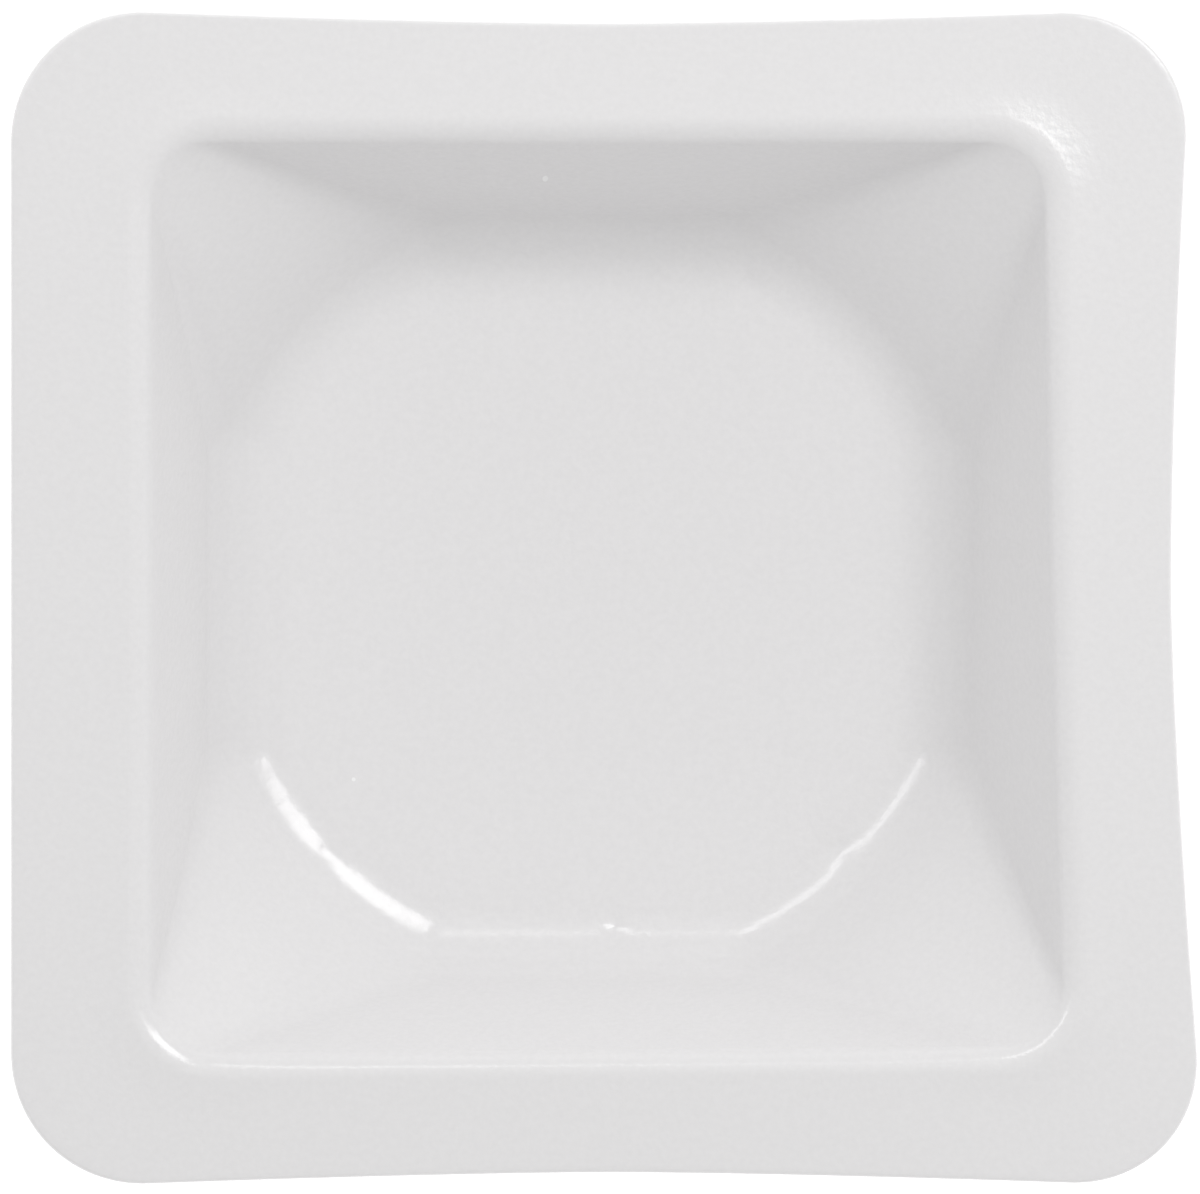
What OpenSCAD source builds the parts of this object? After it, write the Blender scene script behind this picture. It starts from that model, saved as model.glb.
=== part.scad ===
// Square weighing boat, thermoformed in one piece from thin sheet.
// Z points up. The origin is at the centre of the floor's underside.
// Corners and sides are listed anticlockwise: front left, front right,
// back right, back left, and front, right, back, left.

/* [Rim] */
// Width of the rim from left to right, between its sharp corners at the back
rim_w = 41.5; // [39:0.1:50]
// Depth of the rim from front to back, between its sharp corners
rim_d = 41.4; // [39:0.1:50]
// Radius of the rim's outer corners
rim_r = 4.8; // [3:0.1:7]
// How far the front right corner is stretched out to the right
rim_flare = 0.5; // [0:0.05:1]
// How far the trimmed rim sits to the right of the pocket
rim_shift = 0.2; // [-0.5:0.05:0.5]
// How far each side of the rim has pulled in at its middle
rim_bows = [0.57, 1.05, 0.57, 0]; // [0:0.01:1.5]
// How far the rim's outer edge hangs below the mouth
rim_droop = 0.25; // [0:0.05:0.6]
// How much further the rim falls away close to the mouth's corners
corner_droop = 0.12; // [0:0.02:0.4]

/* [Mouth] */
// Width of the mouth from left to right, where the rim starts to bend down
mouth_w = 33.1; // [29:0.1:36]
// Depth of the mouth from front to back
mouth_d = 33.7; // [29:0.1:36]
// Radius of the mouth's corners on the wall's side of the lip
corner_r = 2.2; // [1.9:0.1:3]
// How far the mouth's front right corner is moved to the right and back
mouth_flare = [0.75, 0.27]; // [0:0.01:1]
// How far each side of the mouth has pulled in at its middle
mouth_bows = [0, 0.15, 0.1, 0.1]; // [0:0.01:0.4]
// Radius of the bend from the rim into the wall, on the upper face
lip_r = 1; // [0.6:0.1:2]

/* [Floor] */
// Radius of the flat floor
floor_r = 12.1; // [9.5:0.1:13]
// How much each of the four straight sides cuts off the floor's circle
floor_cut = 1.2; // [0.5:0.1:2]
// Radius of the corners between the flat floor's arcs and straight sides
floor_corner_r = 0.5; // [0.2:0.1:2]
// Radius of the bend from the wall into the floor, on the upper face
heel_r = 2.8; // [1.5:0.1:3.5]

/* [Sheet] */
// Overall height
height = 8; // [6.5:0.1:10]
// Thickness of the sheet
sheet_t = 0.3; // [0.2:0.05:0.4]

/* [Smoothness] */
// Steps round each corner
corner_steps = 12; // [8:1:14]
// Steps along each side
side_steps = 10; // [6:1:12]
// Steps through each bend
bend_steps = 6; // [4:1:7]

/* [Hidden] */

SIDES = 4;
// Exponent of the curve that a pulled-in side follows
BOW_POWER = 1.5;
// How sharply the corner droop is kept to the corners
CORNER_POWER = 16;
// Share of the rim's width over which the corner droop is spread
CORNER_SPREAD = 0.4;
// Where the rim's rings of points lie, from its outer edge to the mouth
RIM_STATIONS = [1, 0.7, 0.4, 0.2];

columns = SIDES * (corner_steps + side_steps);
depth = height - sheet_t;
mouth_r = corner_r + lip_r;

// Sharp corners of the rim and of the mouth
rim_corners = [
    [rim_shift - rim_w / 2, -rim_d / 2],
    [rim_shift + rim_w / 2 + rim_flare, -rim_d / 2],
    [rim_shift + rim_w / 2, rim_d / 2],
    [rim_shift - rim_w / 2, rim_d / 2]
];
mouth_corners = [
    [-mouth_w / 2, -mouth_d / 2],
    [mouth_w / 2 + mouth_flare.x, -mouth_d / 2 + mouth_flare.y],
    [mouth_w / 2, mouth_d / 2],
    [-mouth_w / 2, mouth_d / 2]
];

// A point on a circle
function polar(radius, angle) = radius * [cos(angle), sin(angle)];

// The next corner or side, anticlockwise
function next(k) = (k + 1) % SIDES;
function previous(k) = (k + SIDES - 1) % SIDES;

// Unit vector along side k, and the one that points in from it
function along(corners, k) =
    let (span = corners[next(k)] - corners[k]) span / norm(span);
function inward(corners, k) =
    let (e = along(corners, k)) [-e.y, e.x];

// Centre of the arc that rounds corner k
function arc_centre(corners, radius, k) =
    let (a = inward(corners, previous(k)), b = inward(corners, k))
    corners[k] + (a + b) * radius / (1 + a * b);

// Point at share t of the arc that rounds corner k
function arc_point(corners, radius, k, t) =
    let (
        a = -inward(corners, previous(k)),
        b = -inward(corners, k),
        turn = acos(a * b)
    )
    arc_centre(corners, radius, k) + polar(radius, atan2(a.y, a.x) + t * turn);

// How far a point near side k is moved in by the bow of that side
function bow_offset(corners, bows, k, p) =
    let (
        span = norm(corners[next(k)] - corners[k]),
        u = 2 * ((p - corners[k]) * along(corners, k)) / span - 1
    )
    bows[k] * max(0, 1 - pow(abs(u), BOW_POWER)) * inward(corners, k);

// Rounded four-sided outline whose sides pull in at the middle
function outline(corners, radius, bows) = [
    for (k = [0:SIDES - 1])
        let (
            round_points = [
                for (i = [0:corner_steps])
                    arc_point(corners, radius, k, i / corner_steps)
            ],
            from = round_points[corner_steps],
            to = arc_point(corners, radius, next(k), 0),
            straight_points = [
                for (i = [1:1:side_steps - 1])
                    from + (to - from) * i / side_steps
            ]
        )
        for (p = concat(round_points, straight_points))
            p + bow_offset(corners, bows, previous(k), p)
              + bow_offset(corners, bows, k, p)
];

// Direction that each column of points faces, level and outwards
facing = [
    for (k = [0:SIDES - 1], i = [0:corner_steps + side_steps - 1])
        180 + 90 * (k + min(1, i / corner_steps))
];

// Outline of the flat floor: a circle with four straight sides and eight
// rounded corners. Each point of an arc faces the same way as its column.
function floor_arc_point(k, i) =
    let (
        start = 180 + 90 * k,
        turn = 90 * i / corner_steps,
        core_r = floor_r - floor_corner_r,
        half_side = acos(1 - floor_cut / core_r),
        held = min(90 - half_side, max(half_side, turn))
    )
    polar(core_r, start + held) + polar(floor_corner_r, start + turn);
floor_line = [
    for (k = [0:SIDES - 1])
        let (
            from = floor_arc_point(k, corner_steps),
            to = floor_arc_point(next(k), 0)
        )
        for (i = [0:corner_steps + side_steps - 1])
            i <= corner_steps
                ? floor_arc_point(k, i)
                : from + (to - from) * (i - corner_steps) / side_steps
];

rim_line = outline(rim_corners, rim_r, rim_bows);
mouth_line = outline(mouth_corners, mouth_r, mouth_bows);

// Slope of the wall that leaves the lip bend and meets the heel bend
// smoothly, for a given distance between the mouth and the flat floor
function wall_slope(run) =
    let (drop = depth - lip_r - heel_r)
    atan2(drop, run) + asin((lip_r + heel_r) / norm([run, drop]));

// Level distance from the mouth to the flat floor, the way column i faces
function wall_run(i) = (mouth_line[i] - floor_line[i]) * polar(1, facing[i]);

// How much of the corner droop column i has
function corner_share(i) =
    let (p = mouth_line[i])
    pow(abs(sin(2 * atan2(p.y, p.x))), CORNER_POWER);

// Rises from 0 to 1 and levels out there
function settle(t) = sin(90 * min(1, t));

// Point of the rim's upper face at share f of its width from the mouth
function rim_point(i, f) =
    let (
        p = mouth_line[i] + (rim_line[i] - mouth_line[i]) * f,
        fall = rim_droop * f
             + corner_droop * corner_share(i) * settle(f / CORNER_SPREAD)
    )
    [p.x, p.y, height - fall];

// Point of the upper face at a distance in from the mouth and at height z. The
// share, from 0 at the lip to 1 at the heel, leads it sideways from the
// mouth's outline to the floor's.
function wall_point(i, distance, share, z) =
    let (
        sideways = polar(1, facing[i] + 90),
        shift = (mouth_line[i] - floor_line[i]) * sideways,
        p = mouth_line[i] - distance * polar(1, facing[i]) - share * shift * sideways
    )
    [p.x, p.y, z];

// Rings of points on the upper face, from the outer edge to the floor
rim_rings = [
    for (f = RIM_STATIONS)
        [for (i = [0:columns - 1]) rim_point(i, f)]
];
lip_rings = [
    for (j = [0:bend_steps])
        [
            for (i = [0:columns - 1])
                let (angle = wall_slope(wall_run(i)) * j / bend_steps)
                wall_point(i, lip_r * sin(angle), 0, height - lip_r * (1 - cos(angle)))
        ]
];
heel_rings = [
    for (j = [0:bend_steps])
        [
            for (i = [0:columns - 1])
                let (
                    run = wall_run(i),
                    angle = wall_slope(run) * (1 - j / bend_steps)
                )
                wall_point(i, run - heel_r * sin(angle), 1, sheet_t + heel_r * (1 - cos(angle)))
        ]
];
upper = concat(rim_rings, lip_rings, heel_rings);
last = len(upper) - 1;

// Upward unit normal of the upper face at ring j and column i. It is upright
// at the last ring, which bounds the flat floor.
function normal(j, i) =
    let (
        around = upper[j][(i + 1) % columns] - upper[j][(i + columns - 1) % columns],
        across = upper[min(last, j + 1)][i] - upper[max(0, j - 1)][i],
        n = cross(around, across)
    )
    j == last ? [0, 0, 1] : n / norm(n);

// The lower face lies one sheet thickness below the upper one
lower = [
    for (j = [0:last])
        [for (i = [0:columns - 1]) upper[j][i] - sheet_t * normal(j, i)]
];

// Number of a point, counted ring by ring
function upper_index(j, i) = j * columns + i % columns;
function lower_index(j, i) = (last + 1 + j) * columns + i % columns;

// Numbers of the centre points that close the two faces of the floor
upper_centre = 2 * (last + 1) * columns;
lower_centre = upper_centre + 1;

boat_points = concat(
    [for (ring = concat(upper, lower)) for (p = ring) p],
    [[0, 0, sheet_t], [0, 0, 0]]
);
boat_faces = concat(
    [
        for (j = [0:last - 1], i = [0:columns - 1])
            for (
                face = [
                    [upper_index(j, i), upper_index(j + 1, i), upper_index(j + 1, i + 1)],
                    [upper_index(j, i), upper_index(j + 1, i + 1), upper_index(j, i + 1)],
                    [lower_index(j, i), lower_index(j + 1, i + 1), lower_index(j + 1, i)],
                    [lower_index(j, i), lower_index(j, i + 1), lower_index(j + 1, i + 1)]
                ]
            )
            face
    ],
    [
        for (i = [0:columns - 1])
            for (
                face = [
                    [upper_index(0, i), upper_index(0, i + 1), lower_index(0, i + 1)],
                    [upper_index(0, i), lower_index(0, i + 1), lower_index(0, i)]
                ]
            )
            face
    ],
    [
        for (i = [0:columns - 1])
            [upper_index(last, i), upper_centre, upper_index(last, i + 1)]
    ],
    [
        for (i = [0:columns - 1])
            [lower_index(last, i), lower_index(last, i + 1), lower_centre]
    ]
);

// The whole boat: rim, lip, sloping walls and flat floor in one sheet
module boat() {
    color([0.93, 0.93, 0.93])
        polyhedron(points = boat_points, faces = boat_faces, convexity = 6);
}

boat();
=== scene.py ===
"""A square weighing boat of thin white plastic, seen from almost straight above.

The boat's sheet is a fine mesh on the same curves as the CAD part: rim, lip
bend, four flat walls with rounded fans between them, heel bend and flat floor.
It also has a rounded cut edge, softer creases beside the fans and small dents.
Lengths are in millimetres until the mesh is made, and in metres after that.
"""

import math

import bpy
import numpy as np
from mathutils import Matrix, Vector


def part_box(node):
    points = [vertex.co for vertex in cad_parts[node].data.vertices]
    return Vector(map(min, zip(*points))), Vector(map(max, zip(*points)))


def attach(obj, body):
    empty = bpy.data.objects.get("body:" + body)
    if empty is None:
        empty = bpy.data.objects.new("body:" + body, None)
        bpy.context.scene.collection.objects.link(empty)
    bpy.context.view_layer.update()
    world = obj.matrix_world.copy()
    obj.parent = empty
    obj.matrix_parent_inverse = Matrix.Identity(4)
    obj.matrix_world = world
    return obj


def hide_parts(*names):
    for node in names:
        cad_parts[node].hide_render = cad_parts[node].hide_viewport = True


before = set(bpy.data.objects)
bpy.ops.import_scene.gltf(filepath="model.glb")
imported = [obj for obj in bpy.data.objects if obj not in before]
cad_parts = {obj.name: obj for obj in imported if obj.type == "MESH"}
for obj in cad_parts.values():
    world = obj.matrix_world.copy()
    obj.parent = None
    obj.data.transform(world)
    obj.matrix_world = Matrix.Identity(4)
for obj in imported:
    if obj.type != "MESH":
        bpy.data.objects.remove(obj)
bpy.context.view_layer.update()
BOAT_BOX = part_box("boat")

MM = 0.001
SIDES = 4
QUARTER = math.pi / 2

# --- the boat's driving sizes, in mm, as in the CAD part ---------------------
RIM_W, RIM_D, RIM_R = 41.5, 41.4, 4.8
RIM_FLARE, RIM_SHIFT = 0.5, 0.2
RIM_BOWS = (0.57, 1.05, 0.57, 0.0)
RIM_DROOP, CORNER_DROOP = 0.25, 0.12
MOUTH_W, MOUTH_D = 33.1, 33.7
MOUTH_FLARE = (0.75, 0.27)
MOUTH_BOWS = (0.0, 0.15, 0.1, 0.1)
LIP_R, HEEL_R, CORNER_R = 1.0, 2.8, 2.2
FLOOR_R, FLOOR_CUT, FLOOR_CORNER_R = 12.1, 1.2, 0.5
HEIGHT, SHEET_T, EDGE_R = 8.0, 0.3, 0.15
BOW_POWER, CORNER_POWER = 1.5, 16
CORNER_SPREAD = 0.4

# how strongly the creases between the walls and the fans are evened out
SOFTEN_WEIGHT, SOFTEN_PASSES = 0.5, 200

# small dents in the heel's bend: where they are, their radius and depth
NICKS = (
    (1.0, -11.6, 0.28, 0.06),
    (-9.0, -9.1, 0.3, 0.06),
    (8.9, -8.8, 0.4, 0.08),
    (5.7, 11.1, 0.35, 0.08),
)

# white specks: where they are and their radius
SPECKS = ((-1.7, 14.7, 0.1), (-8.25, -6.4, 0.07))

# --- how finely the sheet is drawn -------------------------------------------
CORNER_STEPS, SIDE_STEPS = 48, 60
EDGE_STEPS, RIM_STEPS, LIP_STEPS = 5, 24, 14
WALL_STEPS, HEEL_STEPS, FLOOR_STEPS = 8, 20, 8

# --- the camera and the lights, in metres -------------------------------------
VIEW_TILT = math.radians(2.7)
VIEW_DISTANCE = 1.2
VIEW_WIDTH = 0.042
VIEW_CENTRE = Vector((0.00007, 0.00002, HEIGHT * MM))
LIGHT_DISTANCE = 0.35
# brightness of the sky low down and overhead
HORIZON, OVERHEAD = 0.79, 0.54


# --- curves that the sheet follows --------------------------------------------
def rim_corners():
    left, right = RIM_SHIFT - RIM_W / 2, RIM_SHIFT + RIM_W / 2
    return np.array([
        (left, -RIM_D / 2), (right + RIM_FLARE, -RIM_D / 2), (right, RIM_D / 2), (left, RIM_D / 2)
    ])


def mouth_corners():
    w, d = MOUTH_W / 2, MOUTH_D / 2
    return np.array([(-w, -d), (w + MOUTH_FLARE[0], -d + MOUTH_FLARE[1]), (w, d), (-w, d)])


def polar(radius, angle):
    return radius * np.stack([np.cos(angle), np.sin(angle)], axis=-1)


def side_frame(corners, k):
    """The length of side k, the unit vector along it and the one pointing in from it."""
    span = corners[(k + 1) % SIDES] - corners[k]
    length = np.linalg.norm(span)
    along = span / length
    return length, along, np.array([-along[1], along[0]])


def corner_arc(corners, radius, k):
    """Points of the arc that rounds corner k."""
    a, b = side_frame(corners, k - 1)[2], side_frame(corners, k)[2]
    centre = corners[k] + (a + b) * radius / (1 + a @ b)
    turn = math.acos(a @ b)
    start = math.atan2(-a[1], -a[0])
    return centre + polar(radius, start + turn * np.linspace(0, 1, CORNER_STEPS + 1))


def bowed(points, corners, bows, k):
    """How far each point near side k is moved in by that side's bow."""
    length, along, inward = side_frame(corners, k)
    u = 2 * ((points - corners[k]) @ along) / length - 1
    pull = bows[k % SIDES] * np.clip(1 - np.abs(u) ** BOW_POWER, 0, None)
    return pull[:, None] * inward


def join_sides(arcs):
    """One closed outline from four arcs and the straight runs between them."""
    steps = np.linspace(0, 1, SIDE_STEPS + 1)[1:-1, None]
    parts = []
    for k, arc in enumerate(arcs):
        end, start = arc[-1], arcs[(k + 1) % SIDES][0]
        parts.append(np.vstack([arc, end + (start - end) * steps]))
    return parts


def outline(corners, radius, bows):
    """A rounded four-sided outline whose sides pull in at the middle."""
    parts = join_sides([corner_arc(corners, radius, k) for k in range(SIDES)])
    return np.vstack([
        part + bowed(part, corners, bows, k - 1) + bowed(part, corners, bows, k)
        for k, part in enumerate(parts)
    ])


def floor_outline():
    """The flat floor: a circle with four straight sides and eight rounded corners."""
    core = FLOOR_R - FLOOR_CORNER_R
    half_side = math.acos(1 - FLOOR_CUT / core)
    turn = QUARTER * np.linspace(0, 1, CORNER_STEPS + 1)
    held = np.clip(turn, half_side, QUARTER - half_side)
    starts = [math.pi + QUARTER * k for k in range(SIDES)]
    arcs = [polar(core, start + held) + polar(FLOOR_CORNER_R, start + turn) for start in starts]
    return np.vstack(join_sides(arcs))


def facing():
    """The direction that each column of points faces, level and outwards."""
    share = np.minimum(1, np.arange(CORNER_STEPS + SIDE_STEPS) / CORNER_STEPS)
    angle = np.concatenate([math.pi + QUARTER * (k + share) for k in range(SIDES)])
    return polar(1, angle), polar(1, angle + QUARTER)


def softened(rings, weight):
    """Evens out each ring along its own length, as much as that ring's weight says."""
    for _ in range(SOFTEN_PASSES):
        before, after = np.roll(rings, 1, axis=1), np.roll(rings, -1, axis=1)
        to_before = np.linalg.norm(rings - before, axis=2, keepdims=True)
        to_after = np.linalg.norm(rings - after, axis=2, keepdims=True)
        mean = (before * to_after + after * to_before) / (to_before + to_after)
        rings = rings + weight[:, None, None] * (mean - rings)
    return rings


def neighbours(points, axis=0):
    return np.roll(points, -1, axis) - np.roll(points, 1, axis)


def settle(t):
    """Rises from 0 to 1 and levels out there."""
    return np.sin(QUARTER * np.minimum(1, t))


# --- the sheet ------------------------------------------------------------------
def upper_face():
    """Rings of points on the upper face, from the cut edge to the middle of the floor."""
    rim = outline(rim_corners(), RIM_R, RIM_BOWS)
    mouth = outline(mouth_corners(), CORNER_R + LIP_R, MOUTH_BOWS)
    floor = floor_outline()
    out, sideways = facing()
    run = ((mouth - floor) * out).sum(axis=1)
    shift = ((mouth - floor) * sideways).sum(axis=1)[:, None] * sideways
    drop = HEIGHT - SHEET_T - LIP_R - HEEL_R
    slope = np.arctan2(drop, run) + np.arcsin((LIP_R + HEEL_R) / np.hypot(run, drop))
    corner = np.abs(np.sin(2 * np.arctan2(mouth[:, 1], mouth[:, 0]))) ** CORNER_POWER

    span = rim - mouth
    width = np.linalg.norm(span, axis=1)
    rings = []

    def rim_ring(f, extra_fall):
        fall = RIM_DROOP * f + CORNER_DROOP * corner * settle(f / CORNER_SPREAD) + extra_fall
        rings.append(np.column_stack([mouth + span * f[:, None], HEIGHT - fall]))

    for angle in QUARTER * np.linspace(1, 0, EDGE_STEPS + 1)[:-1]:
        rim_ring(1 - EDGE_R * (1 - math.sin(angle)) / width, EDGE_R * (1 - math.cos(angle)))
    for share in np.linspace(1, 0, RIM_STEPS + 1)[:-1]:
        rim_ring((1 - EDGE_R / width) * share, 0)

    def wall_ring(distance, share, z):
        rings.append(np.column_stack([mouth - distance[:, None] * out - share * shift, z]))

    for angle in slope * np.linspace(0, 1, LIP_STEPS + 1)[:, None]:
        wall_ring(LIP_R * np.sin(angle), 0, HEIGHT - LIP_R * (1 - np.cos(angle)))
    top_of_wall, foot_of_wall = LIP_R * np.sin(slope), run - HEEL_R * np.sin(slope)
    z_top, z_foot = HEIGHT - LIP_R * (1 - np.cos(slope)), SHEET_T + HEEL_R * (1 - np.cos(slope))
    for t in np.linspace(0, 1, WALL_STEPS + 1)[1:-1]:
        wall_ring(top_of_wall + (foot_of_wall - top_of_wall) * t, t, z_top + (z_foot - z_top) * t)
    for angle in slope * np.linspace(1, 0, HEEL_STEPS + 1)[:, None]:
        wall_ring(run - HEEL_R * np.sin(angle), 1, SHEET_T + HEEL_R * (1 - np.cos(angle)))

    # the stretched sheet has no sharp creases where the flat walls meet the fans
    start = EDGE_STEPS + RIM_STEPS
    stop = start + LIP_STEPS + WALL_STEPS
    rising = np.linspace(0, 1, LIP_STEPS + 1)
    falling = np.linspace(1, 0, WALL_STEPS + 1)[1:-1]
    weight = SOFTEN_WEIGHT * np.sin(QUARTER * np.concatenate([rising, falling]))
    rings[start:stop] = list(softened(np.array(rings[start:stop]), weight))

    foot = rings[-1][:, :2]
    for share in np.linspace(1, 0, FLOOR_STEPS + 1)[1:-1]:
        rings.append(np.column_stack([foot * share, np.full(len(foot), SHEET_T)]))
    return np.array(rings)


def with_nicks(points, upright):
    """Presses the small dents of handling into the face, each along the surface's normal."""
    for x, y, radius, depth in NICKS:
        away = np.hypot(points[..., 0] - x, points[..., 1] - y) / radius
        points = points - (depth * np.exp(-away**2))[..., None] * upright
    return points


def normals(rings):
    """Upward unit normals of a face made of closed rings."""
    around = neighbours(rings, axis=1)
    across = np.gradient(rings, axis=0)
    n = np.cross(around, across)
    return n / np.linalg.norm(n, axis=2, keepdims=True)


def fit_to_box(points):
    """Scales the sheet's points, in mm, onto the CAD part's own box, in metres."""
    lo, hi = (np.array(c) for c in BOAT_BOX)
    low, high = points.min(axis=0), points.max(axis=0)
    return lo + (points - low) / (high - low) * (hi - lo)


def grid_faces(first, rings, columns, flip):
    faces = []
    for j in range(rings - 1):
        for i in range(columns):
            a, b = first + j * columns + i, first + j * columns + (i + 1) % columns
            quad = (a, a + columns, b + columns, b)
            faces.append(quad[::-1] if flip else quad)
    return faces


def make_sheet():
    upper = upper_face()
    upright = normals(upper)
    lower = upper - SHEET_T * upright
    upper = with_nicks(upper, upright)
    rings, columns = upper.shape[:2]
    count = rings * columns
    middles = np.array([(0, 0, SHEET_T), (0, 0, 0)])
    points = fit_to_box(np.vstack([upper.reshape(-1, 3), lower.reshape(-1, 3), middles]))
    faces = grid_faces(0, rings, columns, False) + grid_faces(count, rings, columns, True)
    for i in range(columns):
        n = (i + 1) % columns
        last, last_next = count - columns + i, count - columns + n
        faces.append((i, n, count + n, count + i))
        faces.append((last, 2 * count, last_next))
        faces.append((count + last, count + last_next, 2 * count + 1))
    mesh = bpy.data.meshes.new("boat_sheet")
    mesh.from_pydata(points.tolist(), [], faces)
    mesh.update()
    mesh.shade_smooth()
    sheet = bpy.data.objects.new("boat_sheet", mesh)
    bpy.context.collection.objects.link(sheet)
    return sheet


# --- materials -------------------------------------------------------------------
def new_material(name):
    material = bpy.data.materials.new(name)
    material.use_nodes = True
    return material, material.node_tree.nodes, material.node_tree.links


def add_specks(nodes, links, where, colour):
    """Whitens the colour inside each speck and returns the new colour's socket."""
    flat = nodes.new("ShaderNodeVectorMath")
    flat.operation = "MULTIPLY"
    flat.inputs[1].default_value = (1, 1, 0)
    links.new(where, flat.inputs[0])
    for x, y, radius in SPECKS:
        away = nodes.new("ShaderNodeVectorMath")
        away.operation = "DISTANCE"
        away.inputs[1].default_value = (x * MM, y * MM, 0)
        inside = nodes.new("ShaderNodeMath")
        inside.operation = "LESS_THAN"
        inside.inputs[1].default_value = radius * MM
        mix = nodes.new("ShaderNodeMixRGB")
        mix.inputs["Color2"].default_value = (1, 1, 1, 1)
        links.new(flat.outputs["Vector"], away.inputs[0])
        links.new(away.outputs["Value"], inside.inputs[0])
        links.new(inside.outputs["Value"], mix.inputs["Fac"])
        links.new(colour, mix.inputs["Color1"])
        colour = mix.outputs["Color"]
    return colour


def white_plastic():
    """Satin white polystyrene with a fine orange-peel skin."""
    material, nodes, links = new_material("white_sheet")
    shader = nodes["Principled BSDF"]
    shader.inputs["Roughness"].default_value = 0.175
    shader.inputs["IOR"].default_value = 1.59
    where = nodes.new("ShaderNodeTexCoord")

    mottle = nodes.new("ShaderNodeTexNoise")
    mottle.inputs["Scale"].default_value = 4500
    mottle.inputs["Detail"].default_value = 3
    tint = nodes.new("ShaderNodeValToRGB")
    tint.color_ramp.elements[0].position = 0.3
    tint.color_ramp.elements[0].color = (0.865, 0.856, 0.860, 1)
    tint.color_ramp.elements[1].position = 0.7
    tint.color_ramp.elements[1].color = (0.890, 0.881, 0.885, 1)
    links.new(where.outputs["Object"], mottle.inputs["Vector"])
    links.new(mottle.outputs["Fac"], tint.inputs["Fac"])
    colour = add_specks(nodes, links, where.outputs["Object"], tint.outputs["Color"])
    links.new(colour, shader.inputs["Base Color"])

    peel = nodes.new("ShaderNodeTexNoise")
    peel.inputs["Scale"].default_value = 3500
    peel.inputs["Detail"].default_value = 2
    bump = nodes.new("ShaderNodeBump")
    bump.inputs["Strength"].default_value = 0.05
    bump.inputs["Distance"].default_value = 0.0002
    links.new(where.outputs["Object"], peel.inputs["Vector"])
    links.new(peel.outputs["Fac"], bump.inputs["Height"])
    links.new(bump.outputs["Normal"], shader.inputs["Normal"])
    return material


def floor_material():
    """A plain white bench that is lit from within, so that it stays pale under the boat."""
    material, nodes, _ = new_material("bench_white")
    shader = nodes["Principled BSDF"]
    shader.inputs["Base Color"].default_value = (0.9, 0.9, 0.9, 1)
    shader.inputs["Roughness"].default_value = 0.9
    shader.inputs["Emission Color"].default_value = (1, 1, 1, 1)
    shader.inputs["Emission Strength"].default_value = 0.65
    return material


# --- stage ------------------------------------------------------------------------
def make_floor():
    half = 1.5
    mesh = bpy.data.meshes.new("bench")
    corners = [(-half, -half, 0), (half, -half, 0), (half, half, 0), (-half, half, 0)]
    mesh.from_pydata(corners, [], [(0, 1, 2, 3)])
    mesh.materials.append(floor_material())
    bench = bpy.data.objects.new("bench", mesh)
    bpy.context.collection.objects.link(bench)
    bench.location.z = -0.00005


def make_light(name, azimuth, elevation, width, height, radiance):
    """A wide soft box that points at the boat, lit evenly to the given radiance."""
    data = bpy.data.lights.new(name, "AREA")
    data.shape = "RECTANGLE"
    data.size, data.size_y = width, height
    data.energy = radiance * math.pi * width * height
    light = bpy.data.objects.new(name, data)
    bpy.context.collection.objects.link(light)
    a, e = math.radians(azimuth), math.radians(elevation)
    away = Vector((math.cos(a) * math.cos(e), math.sin(a) * math.cos(e), math.sin(e)))
    right = Vector((-math.sin(a), math.cos(a), 0))
    light.matrix_world = Matrix.Translation(away * LIGHT_DISTANCE) @ Matrix(
        (right, away.cross(right), away)
    ).transposed().to_4x4()


def make_world():
    """An even white studio that is brighter near the horizon."""
    world = bpy.data.worlds.new("studio")
    world.use_nodes = True
    nodes, links = world.node_tree.nodes, world.node_tree.links
    where = nodes.new("ShaderNodeTexCoord")
    split = nodes.new("ShaderNodeSeparateXYZ")
    ramp = nodes.new("ShaderNodeValToRGB")
    low, high = ramp.color_ramp.elements
    ramp.color_ramp.interpolation = "EASE"
    low.position, high.position = math.sin(math.radians(12)), math.sin(math.radians(34))
    low.color, high.color = (*[HORIZON] * 3, 1), (*[OVERHEAD] * 3, 1)
    links.new(where.outputs["Generated"], split.inputs["Vector"])
    links.new(split.outputs["Z"], ramp.inputs["Fac"])
    links.new(ramp.outputs["Color"], nodes["Background"].inputs["Color"])
    bpy.context.scene.world = world


def make_camera():
    """Looks straight down, leaning a little to the left of the boat."""
    data = bpy.data.cameras.new("camera")
    data.sensor_width = 36
    data.lens = data.sensor_width * VIEW_DISTANCE / VIEW_WIDTH
    data.clip_start, data.clip_end = 0.1, 10
    camera = bpy.data.objects.new("camera", data)
    bpy.context.collection.objects.link(camera)
    back = Vector((-math.sin(VIEW_TILT), 0, math.cos(VIEW_TILT)))
    up = Vector((0, 1, 0))
    right = up.cross(back)
    camera.matrix_world = Matrix.Translation(VIEW_CENTRE + back * VIEW_DISTANCE) @ Matrix(
        (right, up, back)
    ).transposed().to_4x4()
    bpy.context.scene.camera = camera


# --- build --------------------------------------------------------------------------
sheet = make_sheet()
sheet.data.materials.append(white_plastic())
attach(sheet, "root")
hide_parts("boat")

make_floor()
make_world()
make_light("key_box", azimuth=45, elevation=56, width=0.117, height=0.15, radiance=5.4)
make_light("second_box", azimuth=123, elevation=57, width=0.27, height=0.05, radiance=3.6)
make_camera()
bpy.context.scene.view_settings.view_transform = "Standard"
